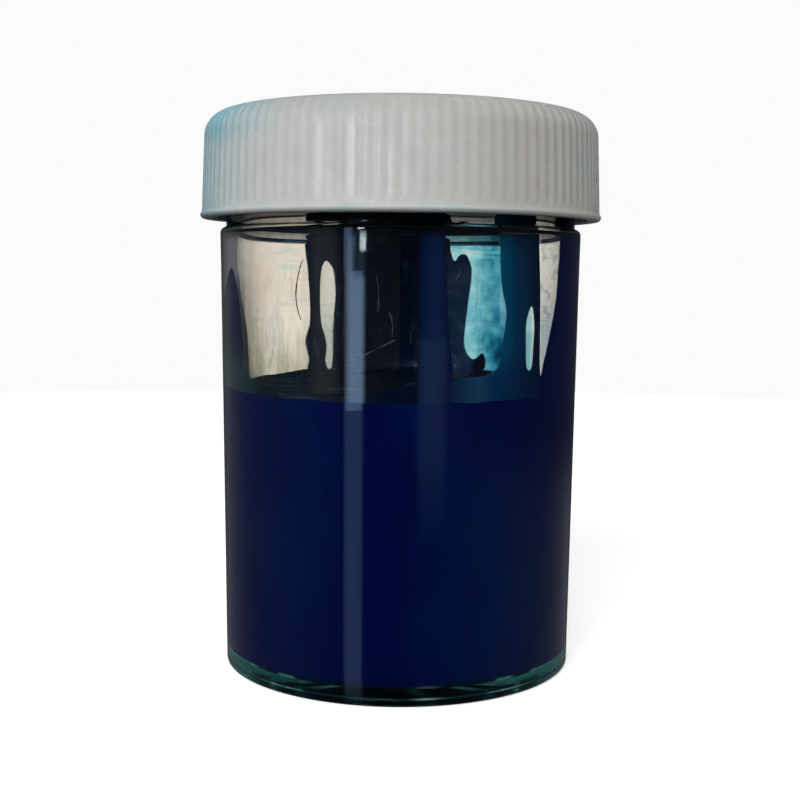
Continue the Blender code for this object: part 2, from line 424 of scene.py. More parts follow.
class Material:
    """A Principled material with the fields that its patterns are made from."""

    def __init__(self, name, **constants):
        self.material = bpy.data.materials.new(name)
        self.material.use_nodes = True
        self.tree = self.material.node_tree
        self.shader = self.tree.nodes["Principled BSDF"]
        for label, value in constants.items():
            self.set(label.replace("_", " "), value)
        self.position = self.tree.nodes.new("ShaderNodeTexCoord").outputs["Object"]
        axes = self.tree.nodes.new("ShaderNodeSeparateXYZ")
        self.tree.links.new(self.position, axes.inputs[0])
        self.x, self.y, self.z = (Field(self.tree, axes.outputs[i]) for i in range(3))
        self.z_mm = self.z * 1000.0

    def set(self, label, value):
        """Give one of the shader's sockets a constant or a field."""
        feed(self.tree, self.shader.inputs[label], value)

    def bearing(self):
        """The bearing in degrees, from -180 to 180."""
        return self.x.math("ARCTAN2", self.y * -1.0) * math.degrees(1.0)

    def radius_mm(self):
        """The distance from the jar's axis in millimetres."""
        return (self.x * self.x + self.y * self.y).math("SQRT") * 1000.0

    def around(self, bearing, stops):
        """A colour from a list of (bearing, colour) pairs."""
        first, last = stops[0][0], stops[-1][0]
        share = bearing.rise_evenly(first, last)
        return share.ramp([((b - first) / (last - first), colour) for b, colour in stops])

    def noise(self, scale, detail=3.0, roughness=0.55, stretch=(1.0, 1.0, 1.0), distortion=0.0):
        """Noise over the object, scale in cycles per metre, stretched along x, y and z."""
        mapping = self.tree.nodes.new("ShaderNodeMapping")
        mapping.inputs["Scale"].default_value = stretch
        self.tree.links.new(self.position, mapping.inputs["Vector"])
        node = self.tree.nodes.new("ShaderNodeTexNoise")
        self.tree.links.new(mapping.outputs[0], node.inputs["Vector"])
        settings = dict(Scale=scale, Detail=detail, Roughness=roughness, Distortion=distortion)
        for label, value in settings.items():
            node.inputs[label].default_value = value
        return Field(self.tree, node.outputs["Fac"])

    def blend(self, share, first, second, mode="MIX"):
        return mixed(self.tree, share, first, second, mode)

    def bump(self, height, distance, strength=1.0):
        """Raise the surface's normals by a height field, distance in metres."""
        node = self.tree.nodes.new("ShaderNodeBump")
        node.inputs["Strength"].default_value = strength
        node.inputs["Distance"].default_value = distance
        self.tree.links.new(height.socket, node.inputs["Height"])
        self.tree.links.new(node.outputs["Normal"], self.shader.inputs["Normal"])


# ---------------------------------------------------------------- materials

POLYSTYRENE_IOR = 1.57


def base_glow(bearing):
    """Where the base carries a painted glow: behind and at the ends, with painted glints in a few spots.
    """
    glow = bearing.math("ABSOLUTE").rise(47.0, 61.0)
    for low, high in ((-57.0, -54.0), (-42.0, -36.0), (35.0, 41.0), (51.0, 54.0)):
        glow = glow.most(bearing.band(low, high, 1.5))
    return glow.most(bearing.band(7.0, 13.0, 4.0) * 0.3)


def clear_wall():
    """The jar's outside: clear polystyrene with faint handling marks. The neck is dulled by the
    paint under the cap, and the front of the shoulder carries a painted shade from the cap's
    overhang. The base is tinted dark teal, with a painted glow at its ends and painted glints in a
    few spots."""
    m = Material("clear_polystyrene", Transmission_Weight=1.0, IOR=POLYSTYRENE_IOR)
    clean = m.blend(m.noise(60.0).rise(0.35, 0.75), (0.98, 0.99, 0.985), (0.94, 0.97, 0.965))
    bearing = m.bearing()
    front = bearing.math("ABSOLUTE").rise(75.0, 95.0, 1.0, 0.0)
    # Painted shade on the front of the shoulder, under the cap's overhang.
    shaded_and_dulled = m.blend(m.z_mm.rise(54.1, 54.7) * front, clean, (0.36, 0.37, 0.37))
    shaded_and_dulled = m.blend(m.z_mm.rise(54.9, 55.5), shaded_and_dulled, (0.22, 0.22, 0.21))
    # Round the base: a dark teal tint, with a painted glow at the ends and painted glints in a few spots.
    glow = base_glow(bearing) * m.noise(240.0).rise(0.30, 0.60, 0.6, 1.0)
    base_tint_and_glow = m.blend(glow, (0.002, 0.016, 0.018), (0.52, 0.92, 0.86))
    m.set("Base Color", m.blend(m.z_mm.rise(1.4, 2.2, 1.0, 0.0), shaded_and_dulled, base_tint_and_glow))
    marks = m.noise(900.0, stretch=(1.0, 1.0, 0.12)).rise(0.62, 0.80, 0.0, 1.0)
    m.set("Roughness", marks * 0.05 + 0.015)
    return m.material


# What a film of paint lets through, from none of it to an opaque one.
FILM_COLOURS = [
    (0.0, (0.99, 0.985, 0.97)),
    (0.15, (0.60, 0.84, 0.90)),
    (0.35, (0.12, 0.60, 0.86)),
    (0.55, (0.018, 0.28, 0.52)),
    (0.75, (0.0006, 0.070, 0.19)),
    (0.90, (0.0, 0.012, 0.05)),
    (1.0, (0.0, 0.001, 0.006)),
]


def stained_bore():
    """The jar's inside: the same plastic, stained by thin films of paint that tint what shows
    through. The film runs from none, 0, to opaque, 1."""
    m = Material("stained_polystyrene", Transmission_Weight=1.0, IOR=POLYSTYRENE_IOR)
    bearing = m.bearing()
    cloud = m.noise(150.0, detail=4.0, stretch=(1.0, 1.0, 0.8))
    fine = m.noise(520.0, detail=3.0)
    streak = m.noise(700.0, detail=3.0, stretch=(1.0, 1.0, 0.15))
    wipe = m.noise(420.0, detail=4.0, stretch=(0.25, 0.25, 2.2))
    scuff = m.noise(600.0, detail=4.0, stretch=(1.0, 1.0, 0.3), distortion=1.5)
    body = m.z_mm.band(36.0, 55.3, 0.3)

    # Front right: a blue film, denser lower down and towards the coat beside it.
    density = bearing.rise(18.0, 30.0, 0.25, 0.56) + m.z_mm.rise(43.0, 52.0, 0.14, 0.0)
    teal = bearing.band(12.5, 36.0, 1.5) * (density + (cloud - 0.5) * 1.4 + (fine - 0.5) * 0.45)
    deep = (bearing + (cloud - 0.5) * 14.0).rise(24.0, 37.0) * bearing.rise(40.0, 42.0, 0.86, 0.0)
    tide = bearing.band(15.0, 41.0, 2.0) * m.z_mm.rise(37.6, 39.4, 0.85, 0.0)
    slot = (bearing - cloud * 3.0).rise(42.0, 45.5, 0.38, 0.14) * bearing.band(41.5, 48.0, 0.7)
    brushed = bearing.band(14.0, 40.0, 3.0) * m.z_mm.rise(50.5, 53.0) * wipe.rise(0.42, 0.62, 0.0, 0.25)
    right = (teal + brushed).most(deep).most(tide).most(slot)

    # Front left: brush marks near the top.
    smear = bearing.band(-40.0, -27.0, 3.0) * m.z_mm.band(46.0, 54.0, 2.5)
    smear = smear * wipe.rise(0.48, 0.64, 0.0, 0.14)

    haze = cloud.rise(0.40, 0.72, 0.0, 0.035) + streak.rise(0.45, 0.75, 0.0, 0.05)
    film = (right.most(smear) + haze) * body

    # Neck: dulled all round, and more so above the blue film.
    around = bearing.math("ABSOLUTE").rise(80.0, 110.0, 0.0, 0.5)
    neck = (m.z_mm - around).rise(54.9, 55.3) * fine.rise(0.30, 0.70, 0.6, 1.0)
    smudge = bearing.band(11.0, 35.0, 3.0) * m.z_mm.rise(55.4, 55.9)

    # Back left: a brown haze that thickens to the side, and a green one lower down.
    brown = bearing.band(-150.0, -84.0, 14.0) * cloud.rise(0.25, 0.70, 0.25, 0.9)
    side = bearing.rise(-116.0, -97.0) * bearing.rise(-84.0, -76.0, 1.0, 0.0)
    side = side * m.z_mm.rise(45.0, 54.0, 1.0, 0.5)
    lower = m.z_mm.rise(37.0, 47.0, 1.0, 0.0) * scuff.rise(0.35, 0.65, 0.25, 1.0)
    green = bearing.band(-180.0, -20.0, 8.0) * lower
    behind_slot = bearing.band(-155.0, -143.0, 1.5) * m.z_mm.rise(36.0, 54.0, 1.0, 0.45)
    scratches = m.noise(1500.0, detail=3.0, stretch=(1.0, 1.0, 0.10)).rise(0.58, 0.68)
    scratches = scratches.most(m.noise(1100.0, detail=3.0, stretch=(0.12, 0.12, 1.0)).rise(0.58, 0.68))
    scratches = scratches * cloud.rise(0.40, 0.55, 0.1, 0.5)

    # Front left: where the paint has drawn back from the wall.
    border = bearing.band(-64.0, -57.5, 1.2) * m.z_mm.rise(46.0, 51.0, 1.0, 0.0)
    ebb = bearing.band(-80.0, -38.0, 6.0) * m.z_mm.rise(36.6, 39.0, 1.0, 0.0)

    # Front right edge: fine dark specks, as if something had splashed there.
    haze_right = bearing.band(49.0, 63.0, 2.0) * m.z_mm.rise(43.0, 52.0, 1.0, 0.25)
    dusty = bearing.band(41.5, 48.0, 0.7)
    specks = bearing.band(49.0, 63.0, 2.0) * m.noise(1000.0, detail=3.0).rise(0.52, 0.66, 0.0, 0.8)
    specks = specks * m.z_mm.rise(42.0, 46.0)

    colour = film.ramp(FILM_COLOURS)
    for share, tint in (
        (neck, (0.30, 0.30, 0.28)),
        (smudge, (0.16, 0.20, 0.25)),
        (brown * body, (0.74, 0.55, 0.42)),
        (side * body, (0.34, 0.37, 0.35)),
        (green * body, (0.46, 0.53, 0.46)),
        (behind_slot * body, (0.36, 0.47, 0.48)),
        (scratches * body, (0.55, 0.58, 0.54)),
        (border * body, (0.16, 0.18, 0.19)),
        (ebb * body, (0.10, 0.14, 0.13)),
        (haze_right * body, (0.28, 0.38, 0.48)),
        (dusty * body, (0.58, 0.60, 0.58)),
        (specks * body, (0.36, 0.40, 0.52)),
    ):
        colour = m.blend(share, colour, tint, "MULTIPLY")
    m.set("Base Color", colour)
    m.set("Roughness", streak.rise(0.5, 0.8, 0.02, 0.10))
    m.bump(streak * 0.5 + scuff * 0.5, 0.005 * MM, 0.5)
    return m.material


def paint_on_wall(name, navy, teal):
    """Paint seen through the wall it touches: no gloss, because nothing lies between them. Under
    the base its colour carries a painted glow, with painted glints where the base bends the light."""
    m = Material(name, Roughness=1.0, Specular_IOR_Level=0.0)
    cloud = m.noise(70.0, detail=3.0, stretch=(1.0, 1.0, 0.6))
    colour = m.blend(cloud.rise(0.35, 0.75), navy, teal)
    bearing = m.bearing()
    # Painted glow on the paint under the base.
    glow = base_glow(bearing) * m.noise(260.0).rise(0.3, 0.6, 0.55, 1.0)
    underside_and_glow = m.blend(glow, (0.001, 0.030, 0.034), (0.16, 0.72, 0.66))
    # Painted glints in a few spots of that glow.
    painted_glints = glow * bearing.math("ABSOLUTE").rise(57.0, 59.0, 1.0, 0.0) * m.noise(800.0).rise(0.35, 0.60)
    underside_and_glow = m.blend(painted_glints, underside_and_glow, (0.45, 1.0, 0.90))
    m.set("Base Color", m.blend(m.z_mm.rise(1.9, 2.3, 1.0, 0.0), colour, underside_and_glow))
    return m.material


def graded_paint_on_wall(name, stops, low_stops=None):
    """Contact paint whose colour changes round the wall: stops are (bearing, colour) pairs, and
    a thinner foot, if there is one, has stops of its own."""
    m = Material(name, Roughness=1.0, Specular_IOR_Level=0.0)
    cloud = m.noise(110.0, detail=4.0, stretch=(1.0, 1.0, 0.35))
    bearing = m.bearing() + (cloud - 0.5) * 9.0
    colour = m.around(bearing, stops)
    if low_stops:
        low = m.z_mm.rise(37.5, 42.5, 1.0, 0.0)
        colour = m.blend(low, colour, m.around(bearing, low_stops))
    m.set("Base Color", colour)
    return m.material


def paint_in_air(name, tones, grey, grey_from, gloss, rough, highlight_share=0.0):
    """Paint's own surface: dark, with a skin that has begun to wrinkle. Round the left, from behind
    to the bearing grey_from, it carries a painted grey sheen, with painted pale highlights in
    ripples there if wet is above 0. A patch at the back carries painted light where the coat bulges."""
    m = Material(name, Specular_IOR_Level=gloss)
    bearing = m.bearing()
    cloud = m.noise(140.0, detail=4.0)
    skin = m.noise(520.0, detail=5.0, roughness=0.6, distortion=0.6)
    scratch = m.noise(1100.0, detail=4.0, stretch=(1.0, 1.0, 0.10), distortion=0.4)
    dark = m.blend(cloud.rise(0.35, 0.70), tones[0], tones[1])
    # Painted light: a lighter patch where the back coat bulges and catches the light.
    thick = bearing.band(148.0, 161.0, 2.0) * m.z_mm.rise(50.0, 54.0, 1.0, 0.4)
    thick = thick * cloud.rise(0.3, 0.6, 0.7, 1.0)
    # Painted grey sheen round the left.
    left = bearing.rise(grey_from - 3.0, grey_from + 3.0, 0.9, 0.0)
    marks = scratch.rise(0.62, 0.68) * cloud.rise(0.48, 0.60) * 0.7
    colour = m.blend(left, m.blend(thick, dark, (0.190, 0.230, 0.430)), grey)
    colour = m.blend(marks, colour, (0.040, 0.200, 0.260))
    # Painted pale highlights in ripples on that sheen.
    ripple = m.noise(260.0, detail=4.0, stretch=(0.6, 2.2, 1.0), distortion=0.8).rise(0.60, 0.68)
    colour = m.blend(ripple * left * highlight_share, colour, (0.22, 0.25, 0.27))
    m.set("Base Color", colour)
    m.set("Roughness", skin.rise(0.35, 0.70, *rough))
    m.bump(skin + cloud, 0.10 * MM, 0.6)
    return m.material


def fold_glint_paint():
    """Painted glints for the folds in the paint's skin: pale in patches, dark teal between."""
    m = Material("fold_glint_paint", Specular_IOR_Level=0.5)
    painted_light = m.noise(900.0, detail=3.0)
    m.set("Base Color", m.blend(painted_light.rise(0.35, 0.62), (0.06, 0.18, 0.24), (0.80, 0.92, 0.96)))
    m.set("Roughness", painted_light.rise(0.3, 0.7, 0.30, 0.15))
    return m.material


def white_cap():
    """White polypropylene with painted shade on its right side, round its top and along the foot of
    its flange, painted highlights on two ribs, and blue-green paint rubbed into its left side."""
    m = Material("white_polypropylene", IOR=1.49, Subsurface_Weight=0.6, Subsurface_Scale=1.0 * MM)
    m.shader.inputs["Subsurface Radius"].default_value = (1.0, 0.95, 0.88)
    bearing = m.bearing()
    grime = m.noise(240.0, detail=5.0)
    plastic = m.blend(grime.rise(0.40, 0.75), (0.62, 0.62, 0.605), (0.57, 0.57, 0.555))
    # Painted shade: darker and warmer on the right side, where less light falls.
    right_shade = bearing.rise(2.0, 36.0) * bearing.rise(50.0, 85.0, 1.0, 0.3)
    right_shade = right_shade * bearing.rise(120.0, 175.0, 1.0, 0.0)
    painted_light = m.blend(right_shade, plastic, (0.50, 0.485, 0.46))
    # Painted shade: darker round the top corner and across the top.
    painted_light = m.blend(m.z_mm.rise(66.8, 69.2), painted_light, (0.47, 0.47, 0.455))
    # Painted highlights on two ribs.
    rib_highlights = bearing.band(-21.9, -20.1, 0.6).most(bearing.band(-13.8, -11.6, 0.6))
    rib_highlights = rib_highlights * m.z_mm.band(58.5, 67.0, 1.0)
    painted_light = m.blend(rib_highlights * grime.rise(0.25, 0.60, 0.3, 0.9), painted_light, (0.73, 0.74, 0.725))
    patch = m.noise(120.0, detail=5.0, roughness=0.65)
    rub = bearing.rise(-160.0, -115.0) * m.radius_mm().rise(15.0, 22.0)
    fading = [(-95.0, 1.0), (-72.0, 0.84), (-56.0, 0.36), (-44.0, 0.12), (-34.0, 0.0)]
    side = m.around(bearing, [(b, (v, v, v)) for b, v in fading]) * patch.rise(0.25, 0.70, 0.8, 1.0)
    corner = bearing.rise(-70.0, -26.0, 1.3, 0.0) * m.z_mm.rise(63.5, 67.0)
    corner = corner * patch.rise(0.30, 0.62, 0.5, 1.0)
    rim = bearing.band(-26.0, -12.0, 4.0) * m.z_mm.rise(67.6, 69.0) * patch.rise(0.40, 0.60) * 0.6
    skirt = bearing.band(-130.0, 35.0, 12.0) * m.z_mm.rise(57.2, 58.2, 1.0, 0.0)
    skirt = skirt * patch.rise(0.40, 0.65) * 0.3
    spots = m.noise(200.0, detail=2.0).rise(0.60, 0.76) * bearing.band(8.0, 62.0, 8.0) * 0.30
    stain = ((side.most(corner) * 0.85).most(rim) * rub).most(skirt).most(spots)
    stained = m.blend(stain, painted_light, (0.255, 0.530, 0.610))
    # Painted shade on the foot of the flange, where it curves under; less on the right.
    flange_shade = m.z_mm.rise(57.0, 57.7, 0.42, 0.0) * bearing.rise(30.0, 60.0, 1.0, 0.4)
    m.set("Base Color", m.blend(flange_shade, stained, (0.16, 0.17, 0.17)))
    m.set("Roughness", grime.rise(0.3, 0.75, 0.24, 0.40))
    m.bump(m.noise(1500.0, detail=3.0), 0.02 * MM, 0.35)
    return m.material


def liner_foam():
    """Closed-cell foam with a smooth skin and fine cells."""
    m = Material("white_foam", IOR=1.45)
    cells = m.tree.nodes.new("ShaderNodeTexVoronoi")
    cells.inputs["Scale"].default_value = 2200.0
    m.tree.links.new(m.position, cells.inputs["Vector"])
    cell = Field(m.tree, cells.outputs["Distance"])
    m.set("Base Color", m.blend(m.noise(300.0).rise(0.4, 0.7), (0.80, 0.80, 0.77), (0.66, 0.72, 0.74)))
    m.set("Roughness", cell.rise(0.1, 0.6, 0.75, 0.55))
    m.bump(cell, 0.05 * MM, 0.6)
    return m.material


# ---------------------------------------------------------------- pieces

def make_jar(outside, inside):
    """The clear jar, with its thread on the neck and its push-up under the base."""
    corner = SHOULDER_R - NECK_R
    bore_r = drafted_bore(FLOOR_Z)
    profile = [(0.0, FLOOR_Z), (bore_r * 0.5, FLOOR_Z)]
    profile += arc((bore_r - FLOOR_FILLET, FLOOR_Z + FLOOR_FILLET), FLOOR_FILLET, -90, 0, 8)
    profile += rows((drafted_bore(3 * MM), 3 * MM), (drafted_bore(NECK_BORE_Z), NECK_BORE_Z), 4 * MM)
    profile += arc((drafted_bore(NECK_BORE_Z) - 0.3 * MM, NECK_BORE_Z), 0.3 * MM, 0, 80, 4)
    profile += [(NECK_BORE_R + 0.06 * MM, NECK_BORE_Z + 0.34 * MM), (NECK_BORE_R, NECK_BORE_Z + 0.5 * MM)]
    profile += arc((NECK_BORE_R + RIM_FILLET, NECK_TOP_Z - RIM_FILLET), RIM_FILLET, 180, 90, 6)
    profile += arc((NECK_R - RIM_FILLET, NECK_TOP_Z - RIM_FILLET), RIM_FILLET, 90, 0, 6)
    ridge_low = JAR_RIDGE["start_z"] - JAR_RIDGE["base"]
    profile += rows((NECK_R, NECK_TOP_Z - RIM_FILLET), (NECK_R, ridge_low), THREAD_ROW)
    profile += [(NECK_R + 0.02 * MM, SHOULDER_Z + corner + 0.12 * MM)]
    profile += arc((NECK_R + 0.02 * MM, SHOULDER_Z), corner, 82, 0, 9)
    profile += rows((SHOULDER_R, SHOULDER_Z), (BASE_R, HEEL_R), 4 * MM)
    profile += arc((BASE_R - HEEL_R, HEEL_R), HEEL_R, 0, -90, 6)
    profile += [(BEARING_R, 0.0)]
    profile += arc((BEARING_R - PUSH_UP, 0.0), PUSH_UP, 8, 90, 5)
    profile += [(BEARING_R * 0.5, PUSH_UP), (0.0, PUSH_UP)]

    def with_thread(r, z, angles):
        if abs(r - NECK_R) > 0.01 * MM or z < ridge_low:
            return r, z
        share = ridge_share(z, angles, **JAR_RIDGE)
        return r + (JAR_RIDGE["crest_r"] - r) * share, z

    jar = turned("jar_clear", profile, JAR_COLUMNS, with_thread)
    jar.data.materials.append(outside)
    jar.data.materials.append(inside)
    for polygon in jar.data.polygons:
        middle = polygon.center
        radius = math.hypot(middle.x, middle.y)
        bore = radius < bore_radius(middle.z) + 0.3 * MM and middle.z > FLOOR_Z - 0.2 * MM
        polygon.material_index = 1 if bore and middle.z < NECK_TOP_Z - RIM_FILLET else 0
    shade(jar)
    return jar


def make_cap(material):
    """The ribbed cap. Its ribs fade in above the flange and run out round the top corner."""
    plate_z = CAP_TOP_Z - CAP_PLATE
    rib_low = CAP_BOTTOM_Z + FLANGE_HEIGHT
    corner_z = CAP_TOP_Z - CAP_CORNER
    corner_r = CAP_TOP_R - CAP_CORNER
    gate_r = 1.3 * MM
    profile = [(0.0, CAP_TOP_Z - 0.12 * MM), (gate_r, CAP_TOP_Z - 0.12 * MM)]
    profile += [(gate_r + 0.15 * MM, CAP_TOP_Z - 0.02 * MM), (gate_r + 0.4 * MM, CAP_TOP_Z)]
    profile += [(8.0 * MM, CAP_TOP_Z), (15.0 * MM, CAP_TOP_Z)]
    profile += arc((corner_r, corner_z), CAP_CORNER, 90, 0, 20)
    profile += rows((CAP_TOP_R, corner_z), (CAP_LOW_R, rib_low + RIB_START), 1.0 * MM)
    profile += rows((CAP_LOW_R, rib_low + RIB_START), (CAP_LOW_R, rib_low), 0.1 * MM)
    profile += [(CAP_LOW_R, rib_low), (CAP_LOW_R + 0.03 * MM, rib_low - 0.35 * MM)]
    profile += [(CAP_LOW_R + 0.12 * MM, rib_low - 0.60 * MM)]
    profile += arc((FLANGE_R - 0.45 * MM, CAP_BOTTOM_Z + 0.45 * MM), 0.45 * MM, 20, -90, 8)
    profile += arc((CAP_BORE_LOW_R + 0.15 * MM, CAP_BOTTOM_Z + 0.15 * MM), 0.15 * MM, -90, -180, 4)
    ridge_top = CAP_RIDGE["start_z"] + THREAD_PITCH * CAP_RIDGE["turns"] + CAP_RIDGE["base"]
    bore_low, bore_top = (CAP_BORE_LOW_R, CAP_BOTTOM_Z), (CAP_BORE_TOP_R, plate_z)
    first, last = CAP_BOTTOM_Z + 0.4 * MM, ridge_top
    first_r, last_r = between(bore_low, bore_top, first), between(bore_low, bore_top, last)
    profile += rows((first_r, first), (last_r, last), 0.2 * MM)
    profile += [(CAP_BORE_TOP_R, plate_z - 0.4 * MM)]
    profile += arc((CAP_BORE_TOP_R - 0.4 * MM, plate_z - 0.4 * MM), 0.4 * MM, 0, 90, 5)
    profile += [(10.0 * MM, plate_z), (0.0, plate_z)]

    def with_ribs(r, z, angles):
        groove = RIB_DEPTH * (0.5 - 0.5 * np.cos(RIB_COUNT * angles))
        if z > corner_z and r > corner_r:
            turn = math.degrees(math.atan2(z - corner_z, r - corner_r))
            depth = groove * max(0.0, 1.0 - (turn / RIB_RUN_OUT) ** 3)
            return r - depth * math.cos(math.radians(turn)), z - depth * math.sin(math.radians(turn))
        if r > CAP_BORE_LOW_R + 0.3 * MM and z > rib_low:
            return r - groove * min(1.0, (z - rib_low) / RIB_START) ** 0.7, z
        if first < z < last and r < CAP_BORE_LOW_R + 0.01 * MM:
            share = ridge_share(z, angles, **CAP_RIDGE)
            return r + (CAP_RIDGE["crest_r"] - r) * share, z
        return r, z

    cap = turned("cap_ribbed", profile, RIB_COUNT * RIB_COLUMNS, with_ribs)
    cap.data.materials.append(material)
    shade(cap, 60.0)
    return cap


def make_liner(material):
    """The liner disc, pressed a little where the rim of the neck meets it."""
    radius = LINER_HIGH[0]
    low, top = LINER_LOW[2], LINER_HIGH[2]
    profile = [(0.0, top), (radius * 0.6, top)]
    profile += arc((radius - 0.15 * MM, top - 0.15 * MM), 0.15 * MM, 90, 0, 4)
    profile += arc((radius - 0.15 * MM, low + 0.15 * MM), 0.15 * MM, 0, -90, 4)
    for r, dent in ((22.5, 0.0), (22.2, 0.10), (21.3, 0.14), (20.4, 0.10), (20.1, 0.0), (12.0, 0.0)):
        profile.append((r * MM, low + dent * MM))
    profile.append((0.0, low))
    liner = turned("liner_foam", profile, 160)
    liner.data.materials.append(material)
    shade(liner)
    return liner


def paint_edge_z(bearing):
    """How high the paint stands against the wall at a bearing: uneven, higher at the back."""
    spot = Vector((math.sin(math.radians(bearing)), math.cos(math.radians(bearing)), 0.0))
    uneven = noise.noise(spot * 3.1) * 0.30 * MM + noise.noise(spot * 9.0) * 0.10 * MM
    back = 0.5 - 0.5 * math.cos(math.radians(bearing))
    return PAINT_Z + PAINT_LEAN * (2 * back - 1) + MENISCUS_RISE * (0.25 + 0.75 * back) + uneven


def make_paint(in_air, on_wall):
    """The body of paint: an uneven, slightly wrinkled top and sides that touch the wall."""
    top_r = bore_radius(PAINT_Z) + PAINT_BITE
    foot_r = drafted_bore(FLOOR_Z) + PAINT_BITE
    floor_z = FLOOR_Z - PAINT_BITE
    profile = [(0.0, PAINT_Z)]
    for i in range(1, PAINT_RINGS + 1):
        profile.append((top_r * (i / PAINT_RINGS) ** 0.8, PAINT_Z))
    side_top = len(profile)
    profile += rows((top_r, PAINT_Z), (foot_r, floor_z + FLOOR_FILLET), 2.5 * MM)
    profile += arc((foot_r - FLOOR_FILLET, floor_z + FLOOR_FILLET), FLOOR_FILLET, 0, -90, 6)
    profile += [(foot_r * 0.5, floor_z), (0.0, floor_z)]

    def uneven_top(r, z, angles):
        if z < PAINT_Z - 1e-9:
            return r, z
        heights = []
        for angle in angles:
            bearing = math.degrees(angle) + 90.0
            spot = Vector((r * math.cos(angle), r * math.sin(angle), 0.0)) / MM
            swell = noise.noise(spot / 9.0) * 0.16 + noise.noise(spot / 3.2) * 0.07
            wrinkle = abs(noise.noise(spot / 1.6 + Vector((7.0, 0.0, 0.0)))) * 0.10
            climb = math.exp((r - top_r) / MENISCUS_REACH)
            lean = PAINT_LEAN * math.sin(angle) * r / top_r
            flat = PAINT_Z + lean + (swell + wrinkle) * MM
            heights.append(flat + (paint_edge_z(bearing) - flat) * climb)
        return r, np.array(heights)

    paint = turned("paint_body", profile, PAINT_COLUMNS, uneven_top)
    for material in (in_air, on_wall):
        paint.data.materials.append(material)
    first_side = (side_top - 1) * PAINT_COLUMNS
    for polygon in paint.data.polygons:
        polygon.material_index = 1 if polygon.index >= first_side else 0
    shade(paint, 50.0)
    return paint


# Outlines on the wall, as (bearing, height in mm). Those of the back are seen mirrored.
BACK_OUTLINE = (
    (160.5, 56.4), (159.2, 54.4), (157.4, 52.4), (155.0, 53.5), (152.0, 53.3), (149.7, 50.8),
    (150.4, 47.8), (151.8, 43.8), (152.3, 39.9), (148.4, 38.1), (143.6, 39.0), (142.8, 36.8),
    (150.0, 35.8), (180.0, 35.6), (214.0, 35.6), (220.2, 36.6), (219.8, 38.0), (221.7, 40.6),
    (219.2, 43.5), (219.9, 49.5), (221.6, 55.0), (221.0, 56.6), (200.0, 56.8), (180.0, 56.8),
)
BACK_SLOT = (
    (211.6, 52.2), (214.0, 49.6), (213.9, 43.6), (211.4, 40.4), (211.7, 37.6), (210.2, 36.5),
    (208.6, 37.4), (208.3, 42.6), (207.2, 47.2), (208.3, 50.6),
)
FRONT_STRIP = (
    (5.0, 57.0), (5.6, 50.0), (6.0, 42.0), (5.0, 35.0), (15.0, 35.0), (16.4, 39.0), (15.0, 44.0),
    (14.2, 50.0), (13.6, 54.4), (13.8, 57.0),
)
FRONT_RIGHT = (
    (32.0, 57.0), (31.8, 53.0), (32.6, 49.0), (34.6, 45.8), (33.6, 42.5), (32.6, 39.8), (27.0, 38.5),
    (20.0, 38.3), (14.8, 37.6), (14.8, 35.2), (34.0, 35.0), (50.2, 35.2), (49.9, 40.0), (49.2, 48.0),
    (47.9, 54.0), (47.6, 57.0),
)
FRONT_RIGHT_SLOT = (
    (45.2, 46.5), (46.6, 44.4), (46.4, 41.5), (46.0, 39.5), (44.8, 38.9), (43.5, 39.5), (43.1, 41.6),
    (43.0, 44.6),
)
RIGHT_OUTLINE = (
    (61.5, 57.0), (60.2, 54.2), (58.3, 47.6), (54.0, 42.0), (51.4, 39.0), (51.4, 35.4), (80.0, 35.2),
    (104.0, 35.4), (103.0, 37.0), (94.0, 39.6), (85.0, 44.0), (79.0, 49.0), (77.0, 57.0),
)
LEFT_OUTLINE = (
    (-66.5, 50.6), (-62.5, 48.2), (-60.5, 45.0), (-59.0, 41.0), (-59.0, 38.6), (-54.0, 37.4),
    (-47.0, 36.6), (-42.0, 35.4), (-80.0, 35.0), (-96.0, 35.6), (-96.8, 38.0), (-95.5, 41.5),
    (-91.0, 45.0), (-84.0, 46.5), (-76.0, 47.5), (-70.5, 50.0),
)


def make_coats(in_air, on_wall, on_left, on_front, on_right):
    """The coats left on the wall above the paint, each with the CAD nodes it stands for."""
    coats = [
        (coat("back_film", BACK_OUTLINE, (BACK_SLOT,), bead=0.28 * MM, seed=3.0), on_wall,
         ("coat_back", "drip_back")),
        (coat("left_film", LEFT_OUTLINE, seed=31.0), on_left, ("coat_left",)),
        (coat("front_film", FRONT_STRIP, seed=11.0), on_front, ("coat_front",)),
        (coat("front_right_film", FRONT_RIGHT, (FRONT_RIGHT_SLOT,), seed=17.0), on_right,
         ("coat_front_right",)),
        (coat("right_film", RIGHT_OUTLINE, seed=23.0), on_wall, ("coat_right",)),
    ]
    for piece, contact, nodes in coats:
        piece.data.materials.append(in_air)
        piece.data.materials.append(contact)
        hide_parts(*nodes)
        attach(piece, "jar")


def make_strand(name, path, lift, radius, material):
    """A thin strand on the wall, for a dried hair of paint and for the painted glints on folds: path
    is (bearing, height in mm) points, and lift is how far it stands off the bore."""
    curve = bpy.data.curves.new(name, "CURVE")
    curve.dimensions = "3D"
    curve.bevel_depth = radius
    curve.bevel_resolution = 2
    curve.use_fill_caps = True
    line = curve.splines.new("NURBS")
    line.points.add(len(path) - 1)
    for i, (point, (bearing, z)) in enumerate(zip(line.points, path)):
        point.co = (*at_bearing(bearing, bore_radius(z * MM) - lift, z * MM), 1.0)
        point.radius = 0.35 + 0.65 * math.sin(math.pi * (i + 0.5) / len(path))
    line.use_endpoint_u = True
    line.order_u = min(4, len(path))
    strand = linked(name, curve)
    curve.materials.append(material)
    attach(strand, "jar")


